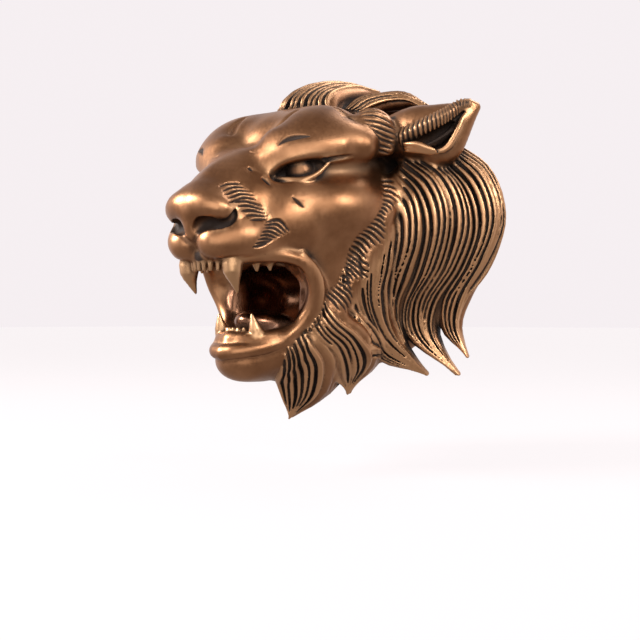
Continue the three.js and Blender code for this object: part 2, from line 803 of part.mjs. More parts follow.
// the sculpt's second axis points out of the wall and the model's points into it, so each face is turned round
for (let i = 0; i < index.length; i += 3) [index[i + 1], index[i + 2]] = [index[i + 2], index[i + 1]];
const geometry = new THREE.BufferGeometry();
geometry.setAttribute("position", new THREE.Float32BufferAttribute(positions, 3));
geometry.setIndex(index);
geometry.computeVertexNormals();

const brass = new THREE.MeshStandardMaterial({ color: 0x8a6236, metalness: 0.9, roughness: 0.4 });
const mask = new THREE.Mesh(geometry, brass);
mask.name = "lion_mask";
const group = new THREE.Group();
group.add(mask);

export default group;
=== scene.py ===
"""A roaring lion's head in antiqued brass, made to hang on a wall.

The head is sculpted as clay on a grid: each number is the distance to the surface, and stamps are melted
into it or cut out of it. Sculpting is in millimetres, across to the head's left, out from the wall, and up.
The frame is in metres, with the wall at y = 0 and the lion looking toward -Y.
"""
import math

import bmesh
import bpy
import numpy as np
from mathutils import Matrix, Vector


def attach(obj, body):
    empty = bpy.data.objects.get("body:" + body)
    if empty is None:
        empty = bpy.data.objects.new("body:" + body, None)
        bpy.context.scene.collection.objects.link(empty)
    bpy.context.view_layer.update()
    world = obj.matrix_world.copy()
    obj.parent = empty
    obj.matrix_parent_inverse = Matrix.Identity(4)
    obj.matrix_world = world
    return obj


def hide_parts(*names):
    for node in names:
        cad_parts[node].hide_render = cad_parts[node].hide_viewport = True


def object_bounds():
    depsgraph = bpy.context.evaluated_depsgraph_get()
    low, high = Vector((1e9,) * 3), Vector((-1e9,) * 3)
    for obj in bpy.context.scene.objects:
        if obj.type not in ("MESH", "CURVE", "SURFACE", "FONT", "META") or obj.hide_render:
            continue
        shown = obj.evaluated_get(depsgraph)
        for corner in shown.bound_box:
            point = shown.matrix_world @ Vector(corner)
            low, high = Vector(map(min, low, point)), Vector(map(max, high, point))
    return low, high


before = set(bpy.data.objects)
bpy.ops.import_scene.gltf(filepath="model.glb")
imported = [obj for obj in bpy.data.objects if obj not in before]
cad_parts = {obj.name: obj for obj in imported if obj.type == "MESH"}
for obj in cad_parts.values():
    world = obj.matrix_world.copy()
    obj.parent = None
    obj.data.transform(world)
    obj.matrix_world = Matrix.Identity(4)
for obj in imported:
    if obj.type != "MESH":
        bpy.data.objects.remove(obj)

import openvdb
from mathutils import Vector
from mathutils.kdtree import KDTree

CAD_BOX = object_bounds()

# Sculpting, in millimetres
GRID = 1.0
CLAY_LOW = (-30, -6, -196)
CLAY_HIGH = (208, 290, 192)
FAR = 60.0
TRIANGLES = 196000
MM = 0.001

# The dark lines of patina and painted shade, in millimetres: how closely they are sampled, and the thinnest
# that the mesh can show
LINE_STEP = 0.8
THINNEST_LINE = 0.8
# How far from the wall the flat back's wear reaches
BACK_BAND = 0.4

# The photograph's camera: pixels of a 640 wide frame, degrees and metres
FOCAL_PIXELS = 1150
FRAME_PIXELS = 640
CAMERA_TURN = 40
CAMERA_AWAY = 1.265
CAMERA_ASIDE = -0.044
CAMERA_UP = -0.077


def melt(a, b, k):
    """The lesser of two distances, with a round fillet of size k where they meet."""
    if k <= 0:
        return np.minimum(a, b)
    h = np.maximum(k - np.abs(a - b), 0) / k
    return np.minimum(a, b) - h * h * k * 0.25


def curve(points, n):
    """n points evenly along a smooth curve through rows of numbers."""
    p = np.array(points, float)
    p = np.vstack([2 * p[0] - p[1], p, 2 * p[-1] - p[-2]])
    t = np.linspace(0, len(p) - 3, n)
    i = np.minimum(t.astype(int), len(p) - 4)
    f = (t - i)[:, None]
    a, b, c, d = p[i], p[i + 1], p[i + 2], p[i + 3]
    return 0.5 * (2 * b + (c - a) * f + (2 * a - 5 * b + 4 * c - d) * f**2 + (3 * b - a - 3 * c + d) * f**3)


def unit(v):
    return v / max(np.linalg.norm(v), 1e-9)


def turned(yaw, pitch, roll):
    """A turn about the vertical, then the cross axis, then the depth axis, in degrees."""
    a, b, c = np.radians([yaw, pitch, roll])
    about_up = np.array([[np.cos(a), -np.sin(a), 0], [np.sin(a), np.cos(a), 0], [0, 0, 1]])
    about_cross = np.array([[1, 0, 0], [0, np.cos(b), -np.sin(b)], [0, np.sin(b), np.cos(b)]])
    about_depth = np.array([[np.cos(c), 0, np.sin(c)], [0, 1, 0], [-np.sin(c), 0, np.cos(c)]])
    return about_up @ about_cross @ about_depth


class Ball:
    """An ellipsoid stamp."""

    def __init__(self, centre, radii, yaw=0, pitch=0, roll=0):
        self.centre = np.array(centre, float)
        self.radii = np.array(radii, float)
        self.angles = (yaw, pitch, roll)
        self.turn = turned(yaw, pitch, roll)

    def mirrored(self):
        yaw, pitch, roll = self.angles
        return Ball(self.centre * (-1, 1, 1), self.radii, -yaw, pitch, -roll)

    def bounds(self):
        reach = np.sqrt(((self.turn * self.radii) ** 2).sum(1))
        return self.centre - reach, self.centre + reach

    def distance(self, x, d, z):
        q = [x - self.centre[0], d - self.centre[1], z - self.centre[2]]
        k0 = k1 = 0
        for i in range(3):
            w = (q[0] * self.turn[0, i] + q[1] * self.turn[1, i] + q[2] * self.turn[2, i]) / self.radii[i]
            k0 = k0 + w * w
            w = w / self.radii[i]
            k1 = k1 + w * w
        k0, k1 = np.sqrt(k0), np.sqrt(k1) + 1e-6
        return k0 * (k0 - 1) / k1


class Roll:
    """A rope of clay through rows of (across, out, up, radius)."""

    def __init__(self, rows, smooth=True):
        rows = np.array(rows, float)
        span = np.linalg.norm(np.diff(rows[:, :3], axis=0), axis=1).sum()
        self.points = curve(rows, max(3, int(span / 5) + 2)) if smooth else rows

    def mirrored(self):
        return Roll(self.points * (-1, 1, 1, 1), smooth=False)

    def bounds(self):
        p, r = self.points[:, :3], self.points[:, 3:]
        return (p - r).min(0), (p + r).max(0)

    def pieces(self):
        return zip(self.points[:-1], self.points[1:])

    @staticmethod
    def piece_distance(a, b, x, d, z):
        ab = b[:3] - a[:3]
        qx, qd, qz = x - a[0], d - a[1], z - a[2]
        t = np.clip((qx * ab[0] + qd * ab[1] + qz * ab[2]) / max(ab @ ab, 1e-6), 0, 1)
        ox, od, oz = qx - t * ab[0], qd - t * ab[1], qz - t * ab[2]
        return np.sqrt(ox * ox + od * od + oz * oz) - (a[3] + t * (b[3] - a[3]))


class Slab:
    """An outline seen from the side, run right across the head, with round edges."""

    def __init__(self, outline, reach, edge):
        self.outline, self.reach, self.edge = np.array(outline, float), reach, edge

    def bounds(self):
        lo, hi = self.outline.min(0) - self.edge, self.outline.max(0) + self.edge
        return np.array([-self.reach, *lo]), np.array([self.reach, *hi])

    def distance(self, x, d, z):
        d2, z2 = d[0], z[0]
        best = np.full(np.broadcast(d2, z2).shape, FAR**2)
        inside = np.zeros(best.shape, bool)
        for a, b in zip(self.outline, np.roll(self.outline, -1, axis=0)):
            e = b - a
            wd, wz = d2 - a[0], z2 - a[1]
            t = np.clip((wd * e[0] + wz * e[1]) / (e @ e), 0, 1)
            best = np.minimum(best, (wd - t * e[0]) ** 2 + (wz - t * e[1]) ** 2)
            if a[1] != b[1]:
                crosses = (a[1] > z2) != (b[1] > z2)
                inside ^= crosses & (d2 < e[0] * (z2 - a[1]) / e[1] + a[0])
        flat = np.where(inside, -np.sqrt(best), np.sqrt(best))[None]
        return np.maximum(flat, np.abs(x) - self.reach) - self.edge


class Clay:
    """Distances to the head's surface on a grid, over its left half until it is unfolded."""

    def __init__(self):
        self.axes = [np.arange(a, b + GRID, GRID, dtype=np.float32) for a, b in zip(CLAY_LOW, CLAY_HIGH)]
        # a grid plane lies on the middle, so that the half can be mirrored
        self.axes[0] -= self.axes[0][np.argmin(np.abs(self.axes[0]))]
        self.low = np.array([a[0] for a in self.axes], float)
        self.field = np.full([len(a) for a in self.axes], FAR, np.float32)
        self.whole = False
        self.lines = []
        self.teeth = []

    def window(self, low, high):
        out = []
        for i in range(3):
            a = int(np.floor((low[i] - self.low[i]) / GRID))
            b = int(np.ceil((high[i] - self.low[i]) / GRID)) + 1
            out.append(slice(max(0, a), max(0, min(len(self.axes[i]), b))))
        return tuple(out)

    def grids(self, w):
        x, d, z = (axis[part] for axis, part in zip(self.axes, w))
        return x[:, None, None], d[None, :, None], z[None, None, :]

    def nearest(self, shapes, w, reach):
        """The least distance to any of the shapes. Ropes are worked out piece by piece."""
        x, d, z = self.grids(w)
        best = np.full((x.size, d.size, z.size), FAR, np.float32)
        for shape in shapes:
            if not isinstance(shape, Roll):
                best = np.minimum(best, shape.distance(x, d, z))
                continue
            for a, b in shape.pieces():
                r = max(a[3], b[3]) + reach
                v = self.window(np.minimum(a, b)[:3] - r, np.maximum(a, b)[:3] + r)
                v = tuple(slice(max(p.start, q.start), min(p.stop, q.stop)) for p, q in zip(v, w))
                if any(s.stop <= s.start for s in v):
                    continue
                here = tuple(slice(s.start - q.start, s.stop - q.start) for s, q in zip(v, w))
                best[here] = np.minimum(best[here], shape.piece_distance(a, b, *self.grids(v)))
        return best

    def knead(self, shapes, blend, reach, cut):
        shapes = shapes if isinstance(shapes, list) else [shapes]
        reach = reach or blend + 8
        lows, highs = zip(*[s.bounds() for s in shapes])
        w = self.window(np.min(lows, 0) - reach, np.max(highs, 0) + reach)
        if any(s.stop <= s.start for s in w):
            return
        near = self.nearest(shapes, w, reach)
        self.field[w] = -melt(-self.field[w], near, blend) if cut else melt(self.field[w], near, blend)

    def both(self, shapes, blend, reach, cut):
        shapes = shapes if isinstance(shapes, list) else [shapes]
        self.knead(shapes, blend, reach, cut)
        if not self.whole:
            self.knead([s.mirrored() for s in shapes], blend, reach, cut)

    def add(self, shapes, blend=2.0, reach=None):
        self.knead(shapes, blend, reach, False)

    def cut(self, shapes, blend=2.0, reach=None):
        self.knead(shapes, blend, reach, True)

    def pair(self, shapes, blend=2.0, reach=None):
        self.both(shapes, blend, reach, False)

    def cut_pair(self, shapes, blend=2.0, reach=None):
        self.both(shapes, blend, reach, True)

    def score(self, shapes, blend=0.5, reach=3):
        """Cuts thin grooves, and notes where their bottoms run."""
        for shape in shapes:
            bottom = shape.points.copy()
            bottom[:, :3] -= self.slope(bottom[:, :3]) * bottom[:, 3:]
            self.note(bottom)
        self.both(shapes, blend, reach, True)

    def note(self, rows):
        """Remembers a dark line, for patina in a groove and for painted shade round the eyes, on both sides
        while only half the head is there.
        """
        rows = np.array(rows, float)
        self.lines.append(rows)
        if not self.whole:
            self.lines.append(rows * (-1, 1, 1, 1))

    def at(self, places):
        """Distances at an array of places, each from the eight grid points round it."""
        q = np.clip((places - self.low) / GRID, 0, np.array(self.field.shape) - 1.001)
        i = q.astype(int)
        f = q - i
        total = np.zeros(len(places))
        for corner in np.ndindex(2, 2, 2):
            share = np.prod(np.where(corner, f, 1 - f), axis=1)
            total += share * self.field[tuple((i + corner).T)]
        return total

    def slope(self, places):
        """The way out of the clay at each place."""
        step = np.eye(3) * GRID
        g = np.stack([self.at(places + s) - self.at(places - s) for s in step], axis=1)
        return g / np.maximum(np.linalg.norm(g, axis=1, keepdims=True), 1e-6)

    def drape(self, places, height=0.0, only_out=False):
        """Moves places along the slope until they lie at a height over the surface."""
        p = np.array(places, float)
        for _ in range(5):
            move = np.clip(height - self.at(p), -5, 5)
            if only_out:
                move = np.maximum(move, 0)
            p = p + move[:, None] * self.slope(p)
        return p

    def unfold(self):
        """Opens the left half out into the whole head."""
        middle = int(np.argmin(np.abs(self.axes[0])))
        half = self.field[middle:]
        self.field = np.concatenate([half[:0:-1], half], axis=0)
        self.axes[0] = (np.arange(2 * len(half) - 1, dtype=np.float32) - (len(half) - 1)) * GRID
        self.low[0] = self.axes[0][0]
        self.whole = True


def base(c):
    """The mass against the wall, which carries the face and the mane."""
    c.add(Ball((0, 0, -2), (134, 68, 124)), 0)
    c.pair(Ball((84, 6, 24), (76, 50, 96)), 20)
    c.add(Ball((0, 60, -66), (70, 72, 73)), 22)
    c.add(Ball((0, 84, 66), (90, 86, 66)), 24)


def face(c):
    c.add(Ball((0, 112, 86), (78, 62, 50), pitch=-20), 20)
    c.pair(Ball((54, 100, 32), (57, 76, 44), yaw=-10), 20)
    c.pair(Ball((48, 106, -12), (36, 58, 44)), 20)
    c.pair(Ball((48, 110, -56), (25, 44, 44)), 16)
    # the bridge from the muzzle to the cheek
    c.pair(Ball((44, 156, 16), (28, 50, 36), yaw=-12), 20)
    c.pair(Ball((42, 160, 38), (30, 32, 32)), 18)
    c.pair(Roll([(30, 200, 44, 14), (46, 184, 30, 14), (58, 168, 10, 14)]), 16)
    # the flat plane of the cheek under the eye
    c.pair(Roll([(48, 158, 32, 16), (66, 137, 34, 20), (84, 117, 36, 18)]), 14)


def muzzle(c):
    c.add(Roll([(0, 140, 54, 42), (0, 180, 38, 40), (0, 216, 18, 35)]), 16)
    c.pair(Roll([(22, 178, 48, 25), (24, 218, 26, 23)]), 14)
    # the whisker pads
    c.pair(Ball((31, 208, 0), (28, 44, 27), yaw=12), 10)
    c.pair(Ball((19, 234, -4), (21, 26, 19)), 7)


def brow(c):
    c.pair(Roll([(13, 190, 62, 12), (30, 180, 78, 17), (54, 166, 88, 19), (80, 142, 91, 17),
                 (98, 120, 90, 11)]), 20)
    c.pair(Roll([(40, 184, 74, 9), (56, 177, 83, 10), (74, 161, 87, 10), (88, 145, 89, 9)]), 10)
    c.pair(Roll([(30, 166, 90, 13), (54, 150, 98, 16), (78, 130, 98, 15), (94, 114, 94, 11)]), 14)
    c.pair(Roll([(36, 170, 94, 12), (56, 160, 100, 12), (76, 141, 102, 12), (92, 120, 99, 10)]), 14)
    c.add(Ball((0, 122, 108), (42, 46, 24), pitch=-12), 10)
    c.pair(Ball((40, 116, 108), (42, 50, 28), yaw=-14, roll=-6), 12)
    # the crease beside the middle of the forehead
    c.cut_pair(stroke(c, [(33, 170, 99), (36, 158, 110), (38, 142, 121)], 2.2), 5)
    # the crescent cut over the eye
    arch = c.drape(curve([(50, 186, 86), (56, 184, 92), (64, 178, 94), (73, 170, 94)], 9), 0.5)
    swell = 3.0 * np.sin(np.linspace(0.05, 0.95, 9) * math.pi)
    c.score([Roll(np.column_stack([arch, swell + 0.4]), smooth=False)], 0.8)


def nose(c):
    c.add(Roll([(0, 186, 66, 22), (0, 212, 54, 22), (0, 234, 40, 18)]), 14)
    c.pair(Roll([(12, 190, 66, 16), (16, 214, 50, 16), (16, 234, 36, 14)]), 10)
    c.add(Ball((0, 239, 31), (34, 27, 21)), 8)
    c.pair(Roll([(9, 255, 30, 12), (20, 252, 29, 12), (29, 245, 26, 11), (35, 236, 24, 8)]), 6)
    c.add(Roll([(0, 255, 22, 10), (0, 251, 4, 8), (0, 245, -4, 6)]), 6)
    # each nostril, with the groove that curls up behind its wing
    wing = [(10, 259, 5, 4), (14, 256, 10, 7.5), (21, 252, 12, 7.5), (29, 248, 10, 5.5),
            (37, 242, 13, 4), (40, 239, 21, 3.2), (37, 238, 30, 1.4)]
    c.cut_pair(Roll(wing), 1.5)
    c.note(curve(wing, 24) * (1, 1, 1, 0.85) - (0, 5, 0, 0))
    # the grooves from the nostrils to the split of the upper lip
    philtrum = [(11, 259, 5, 2.6), (7, 257, -1, 2.4), (0, 253, -8, 2.8)]
    c.cut_pair(Roll(philtrum), 1.5)
    c.note(curve(philtrum, 8))
    split = [(0, 258, -5, 2.4), (0, 253, -10, 4), (0, 248, -16, 5), (0, 242, -24, 7)]
    c.cut(Roll(split), 3)
    c.note(curve(split, 8))


def jaw(c):
    c.pair(Roll([(42, 118, -78, 19), (30, 156, -102, 18), (11, 186, -116, 15)]), 12)
    c.add(Ball((0, 182, -116), (27, 30, 21)), 10)
    c.add(Roll([(0, 150, -108, 28), (0, 100, -95, 50)]), 20)


def mouth(c):
    gape = [(150, -46), (168, -28), (205, -20), (235, -23), (290, -32),
            (290, -110), (225, -102), (190, -95), (168, -84), (154, -68)]
    c.cut(Slab(gape, 120, 4), 3)
    c.cut(Ball((0, 138, -56), (52, 62, 35)), 4)
    # the inside of each cheek bulges into the mouth
    c.pair(Ball((47, 118, -58), (13, 34, 34)), 14)
    # ridges across the palate
    for out in range(214, 149, -13):
        c.add(Roll([(-24, out, -24, 1.5), (0, out + 5, -22, 3), (24, out, -24, 1.5)]), 3)


def lips(c):
    # the cheek between the lip and the inside of the mouth
    c.pair(Roll([(60, 158, -26, 7), (62, 148, -42, 9), (58, 143, -60, 9), (50, 148, -78, 7)]), 5)
    c.pair(Roll([(34, 226, -19, 5), (48, 206, -17, 6), (58, 186, -17, 6.5), (66, 169, -24, 6.5),
                 (68, 158, -42, 6.5), (61, 152, -62, 6.5), (50, 156, -80, 6.5), (42, 170, -94, 6.5)]), 6)
    # the outer fold round the corner of the mouth
    c.pair(Roll([(67, 174, -14, 2), (73, 159, -30, 2.5), (72, 151, -48, 2.5), (64, 148, -68, 2.2),
                 (54, 151, -86, 2)]), 4)
    c.pair(Roll([(42, 166, -97, 6), (28, 191, -104, 7), (13, 208, -107, 7.5), (0, 212, -108, 7.5)]), 2)
    # gums
    c.pair(Roll([(40, 158, -90, 8), (29, 180, -95, 9), (15, 196, -97, 9), (0, 201, -97, 9)]), 4)
    c.pair(Roll([(40, 190, -18, 8), (30, 222, -16, 8), (14, 236, -16, 7), (0, 239, -16, 7)]), 4)


def tongue(c):
    c.add(Ball((0, 146, -84), (27, 44, 16), pitch=10), 6)
    c.cut(Roll([(0, 118, -70, 1), (0, 146, -68, 2), (0, 176, -74, 1.2)]), 3)


def teeth(c):
    shapes = [Roll([(28, 228, -14, 10), (29, 230, -28, 9.5), (29, 227, -39, 5.5), (28, 222, -51, 1.2)]),
              Roll([(23, 186, -98, 9), (23, 192, -86, 6.5), (22, 196, -72, 1.5)]),
              Roll([(36, 206, -16, 7), (37, 205, -30, 1.6)]),
              Roll([(41, 192, -16, 6), (42, 192, -29, 1.6)])]
    for i in range(3):
        across = 3.2 + 6.6 * i
        back = 0.02 * across**2
        shapes.append(Roll([(across, 241 - back, -16, 3.8), (across, 241 - back, -29, 2.4)]))
        shapes.append(Roll([(0.7 * across, 200 - back, -92, 3.4), (0.7 * across, 201 - back, -86, 2.2)]))
    c.pair(shapes, 0.6)
    c.teeth = shapes + [shape.mirrored() for shape in shapes]


def eyes(c):
    c.cut_pair(Ball((64, 177, 66), (29, 16, 10), yaw=-28, roll=-18), 4)
    c.pair(Ball((55, 163, 65.5), (14.5, 14, 13.5)), 0.8)
    # the fold that hangs over the eye, and the lower lid
    c.pair(Roll([(40, 188, 60, 2.2), (48, 185, 71, 3.6), (62, 179, 77, 4.4), (77, 164, 80, 4.6),
                 (88, 150, 81, 4), (96, 137, 82, 2)]), 7)
    c.pair(Roll([(38, 187, 59, 1.5), (46, 185, 57, 2.6), (57, 180, 56, 3), (68, 173, 56, 3),
                 (77, 165, 61, 2.6), (84, 156, 72, 1.6)]), 2.5)
    # the crease from the outer corner
    crease = [(82, 160, 76, 2.4), (90, 152, 77, 2.6), (99, 140, 79, 1.6), (104, 130, 80, 0.6)]
    c.cut_pair(Roll(crease), 1.5)
    c.note(curve(crease, 12))
    # painted shade round the eyeball: dark lines noted for the patina's mask, with no groove cut under them
    above = [(41, 184, 60, 2), (48, 180, 67, 3.4), (60, 172, 73, 4.4), (73, 162, 75, 4), (82, 155, 76, 3)]
    below = [(42, 182, 60, 2), (50, 176, 57, 2.6), (60, 172, 57, 2.6), (70, 166, 61, 2.4), (80, 157, 73, 2)]
    c.note(curve(above, 20))
    c.note(curve(below, 20))


def stroke(c, places, radius, height=-0.3):
    """A thin roll draped on the surface, fading at both ends."""
    n = max(5, int(np.linalg.norm(np.diff(np.array(places, float), axis=0), axis=1).sum() / 2.5))
    line = c.drape(curve(places, n), height)
    width = radius * (0.3 + 0.7 * np.sin(np.linspace(0.06, 0.94, n) * math.pi))
    return Roll(np.column_stack([line, width]), smooth=False)


def hatch(c, first, last, count, radius, bow=(0, 0, 0), stagger=0.0):
    """Strokes from places along one curve to places along another, bowed between the two."""
    starts, ends = curve(first, count), curve(last, count)
    out = []
    for i, (a, b) in enumerate(zip(starts, ends)):
        early = stagger * (0.5 + 0.5 * math.sin(12.9 * i))
        late = stagger * (0.5 + 0.5 * math.sin(7.1 * i + 2))
        a, b = a + (b - a) * early, b + (a - b) * late
        out.append(stroke(c, [a, (a + b) / 2 + np.array(bow), b], radius))
    return out


def slits(c):
    """The small cuts beside the nose and under the eye."""
    places = [((29, 209, 66), (32, 207, 62)), ((44, 205, 58), (49, 200, 49)), ((68, 189, 38), (75, 182, 29))]
    for first, last in places:
        c.score([stroke(c, [first, last], 1.8)])


def fur(c):
    """Three patches of short hair on the muzzle, cut as grooves."""
    # of each patch, the first stroke, the last stroke, how many there are, and their radius
    patches = [
        ([(23, 242, 42), (25, 232, 47), (33, 224, 49)],
         [(38, 245, 29), (41, 230, 36), (47, 217, 35)], 5, 1.5),
        ([(38, 240, 31), (43, 229, 33), (50, 212, 29)],
         [(49, 227, 15), (52, 220, 16), (55, 210, 17)], 5, 1.5),
        ([(55, 212, 14), (62, 202, 16), (67, 192, 5)],
         [(52, 227, -10), (55, 220, -9), (58, 212, -6)], 8, 1.6),
    ]
    for first, last, count, radius in patches:
        first, last = np.array(first, float), np.array(last, float)
        rows = [first + (last - first) * s for s in np.linspace(0, 1, count)]
        c.score([stroke(c, row, radius) for row in rows])


def tuft(c):
    """The fan of hair between the forehead and the ear."""
    tips = [(86, 98, 120, 9), (99, 92, 112, 10), (105, 88, 102, 10), (104, 90, 92, 8)]
    c.pair([Roll([(62, 114, 108, 12), (84, 108, 109, 13), tip]) for tip in tips], 6)
    c.pair(Ball((93, 98, 107), (19, 22, 24)), 8)
    behind = [(92, 84, 128, 3), (108, 76, 118, 5), (119, 74, 104, 5), (119, 78, 92, 5), (113, 86, 80, 4)]
    c.cut_pair(Roll(behind), 3)
    c.note(curve(behind, 24))
    edge = [(90, 100, 127), (104, 94, 117), (113, 88, 105), (115, 88, 95), (110, 92, 84)]
    roots = [(84, 110, 126), (90, 112, 117), (95, 114, 107), (98, 112, 94)]
    c.score(hatch(c, roots, edge, 10, 1.6, stagger=0.1))
    c.score(hatch(c, [(60, 126, 128), (66, 132, 118), (72, 136, 106)],
                  [(78, 116, 123), (83, 118, 113), (88, 122, 101)], 7, 1.4, stagger=0.2))


ROPE = [(118, 82, 102), (137, 77, 110), (151, 70, 117), (159, 63, 123), (166, 54, 131), (173, 46, 133)]
EAR_EDGE = [(149, 70, 86), (157, 66, 89), (162, 62, 97), (167, 58, 110), (169, 54, 120), (174, 45, 130)]


def ears(c):
    c.pair(Roll([(90, 60, 106, 23), (115, 56, 108, 28), (133, 52, 111, 25), (150, 49, 117, 19),
                 (163, 47, 124, 11), (174, 42, 131, 4)]), 6)
    c.pair(Roll([(138, 50, 88, 14), (150, 50, 92, 13), (159, 49, 103, 11), (167, 46, 117, 8),
                 (175, 41, 130, 4)]), 6)
    c.cut_pair([Roll([(122, 92, 92, 5), (136, 84, 95, 9), (147, 76, 101, 10), (156, 68, 108, 8),
                      (163, 60, 116, 5), (170, 51, 126, 2)]),
                Roll([(130, 78, 92, 7), (141, 68, 96, 9), (150, 62, 103, 9), (158, 55, 112, 5)])], 2)
    # the bottom of the hollow is dark
    bottom = [(130, 84, 92, 3), (139, 76, 96, 6), (148, 68, 101, 7), (156, 61, 108, 5), (162, 55, 115, 3)]
    c.note(curve(bottom, 20))
    # a groove under the rolled edge of the hollow
    c.cut_pair(Roll([(146, 72, 80, 3), (158, 68, 84, 3), (166, 62, 94, 2)]), 2)
    c.pair(Roll([(*p, r) for p, r in zip(EAR_EDGE, (2.5, 3, 3.2, 3, 2.6, 2))]), 1.5)
    # hair in the hollow, and one lock that hangs out of it
    for i in range(6):
        c.pair(Roll([(130 + 3 * i, 80 - 4 * i, 90 + i, 1.5), (142 + 4 * i, 66 - 2 * i, 96 + 3 * i, 2),
                     (150 + 2.5 * i, 58 - i, 104 + 3 * i, 1)]), 0.8)
    for i in range(3):
        c.pair(Roll([(124, 88 - i, 94 - 3 * i, 2), (137, 85 - 2 * i, 93 - 3 * i, 2.8),
                     (146, 80 - 2 * i, 89 - 2 * i, 2.6), (151, 77 - i, 87 - i, 1.6)]), 0.6)
    rope(c)


def rope(c):
    """The ear's near rim, a flat band with slanted ribs."""
    ribs = 21
    line = curve(ROPE, ribs)
    c.pair(Roll([(*p, 6.6 - 2.8 * (i / ribs) ** 3) for i, p in enumerate(line)], smooth=False), 2)
    rows = []
    for i in range(ribs - 1):
        along = unit(line[i + 1] - line[i])
        across = unit(np.cross(along, (0.58, 0.78, 0.2)))
        face_way = unit(np.cross(across, along))
        face_way = face_way if face_way[1] > 0 else -face_way
        lean = 0.45 * along
        size = 1 - 0.5 * (i / ribs) ** 2
        width = 8.0 * size
        middle = line[i] + face_way * 7.0 * size
        row = np.array([(*(middle - (across + lean) * width - face_way * 4.5 * size), 1.0), (*middle, 2.0),
                        (*(middle + (across + lean) * width - face_way * 4.5 * size), 1.0)])
        rows.append(row)
    c.pair([Roll(row) for row in rows], 0.4, 4)
    for a, b in zip(rows[:-1], rows[1:]):
        c.note((a + b) / 2)


# The edges between the mane's locks
RIM = [(138, 20, 92), (165, 9, 68), (177, 3, 29), (162, 3, -12),
       (139, 5, -49), (131, 7, -82), (145, 9, -114)]
A_OUT = [(147, 34, 92), (174, 24, 68), (186, 17, 29), (171, 15, -12),
         (147, 14, -49), (136, 13, -82), (145, 9, -114)]
A_IN = [(132, 46, 84), (161, 36, 51), (167, 30, 12), (150, 27, -25),
        (124, 24, -59), (123, 18, -89), (145, 9, -114)]
B_OUT = [(132, 46, 84), (159, 37, 51), (166, 31, 12), (149, 28, -25),
         (120, 25, -59), (113, 22, -92), (137, 12, -132)]
B_MID = [(114, 66, 84), (142, 58, 62), (153, 52, 26), (138, 46, -19),
         (108, 40, -57), (105, 32, -93), (137, 12, -132)]
B_IN = [(107, 76, 69), (128, 72, 46), (135, 68, 11), (118, 60, -29),
        (95, 52, -62), (95, 42, -95), (134, 12, -132)]
D_OUT = [(107, 76, 69), (128, 73, 45), (133, 69, 11), (115, 62, -29), (92, 55, -62), (90, 44, -99)]
D_IN = [(102, 86, 41), (113, 84, 16), (105, 80, -16), (87, 76, -42), (85, 66, -72), (92, 48, -99)]
C_OUT = [(102, 86, 41), (112, 85, 16), (102, 81, -16), (87, 76, -47), (89, 62, -87), (104, 22, -132)]
C_TOP = [(93, 100, 13), (99, 98, -10), (91, 94, -36), (87, 86, -62), (88, 64, -95), (104, 22, -132)]
C_MID = [(81, 116, -12), (83, 112, -34), (79, 104, -55), (78, 90, -79), (83, 64, -107), (104, 22, -132)]
C_LOW = [(67, 126, -36), (68, 122, -53), (69, 112, -73), (73, 94, -95), (78, 60, -120), (104, 22, -132)]
E_OUT = [(66, 141, -56), (76, 129, -75), (84, 106, -92), (81, 84, -115), (40, 70, -151)]
E_MID = [(60, 146, -68), (68, 134, -87), (72, 114, -102), (62, 92, -125), (40, 70, -151)]
E_IN = [(54, 150, -79), (60, 140, -95), (62, 122, -109), (50, 98, -130), (40, 70, -151)]
E_LOW = [(50, 152, -84), (57, 144, -100), (58, 126, -118), (47, 98, -138), (40, 70, -151)]
BEARD_OUT = [(50, 152, -86), (58, 145, -101), (58, 130, -119), (37, 116, -151), (-3, 111, -177)]
BEARD_IN = [(26, 166, -112), (16, 156, -128), (5, 142, -140), (0, 128, -156), (-3, 111, -177)]
FAR_BEARD_OUT = [(-50, 152, -86), (-57, 144, -100), (-52, 128, -118), (-26, 112, -138)]
FAR_BEARD_IN = [(-26, 166, -112), (-20, 154, -124), (-18, 134, -132), (-26, 112, -138)]
CREST_MIDDLE = [(3, 124, 134), (2, 114, 150), (2, 90, 163), (3, 62, 170), (6, 30, 173), (10, 6, 173)]
CREST_SIDE = [(36, 96, 134), (32, 92, 147), (30, 78, 155), (30, 58, 161), (31, 34, 165), (34, 8, 167)]
SHOULDER_TOP = [(37, 74, 140), (44, 54, 153), (65, 38, 158), (86, 28, 155), (112, 20, 140)]
SHOULDER_LOW = [(60, 74, 135), (68, 60, 144), (78, 46, 149), (91, 36, 148), (105, 28, 138)]

# Each lock of the mane: its two edges, its strands and how far it swells
LOCKS = [
    (SHOULDER_TOP, SHOULDER_LOW, 5, 2),
    (CREST_MIDDLE, CREST_SIDE, 7, 2),
    (RIM, A_OUT, 3, 1),
    (A_OUT, A_IN, 4, 3),
    (B_OUT, B_MID, 4, 3),
    (B_MID, B_IN, 4, 3),
    (D_OUT, D_IN, 4, 3),
    (C_OUT, C_TOP, 3, 2.5),
    (C_TOP, C_MID, 4, 2.5),
    (C_MID, C_LOW, 4, 2.5),
    (E_OUT, E_MID, 3, 2.5),
    (E_MID, E_IN, 3, 2),
    (E_IN, E_LOW, 3, 1),
]
BEARD = [(BEARD_OUT, BEARD_IN, 7, 4), (FAR_BEARD_OUT, FAR_BEARD_IN, 4, 3)]
PAD_RADIUS = 9.0
PAD_LAYERS = (0, 10, 20, 30)
STRAND_SHARE = 0.46
PARTING_SHARE = 0.23


def outward(p):
    """The way out from the wall, leaning away from the head's middle."""
    n = np.column_stack([p[:, 0] * 0.004, np.ones(len(p)), p[:, 2] * 0.002])
    return n / np.linalg.norm(n, axis=1, keepdims=True)


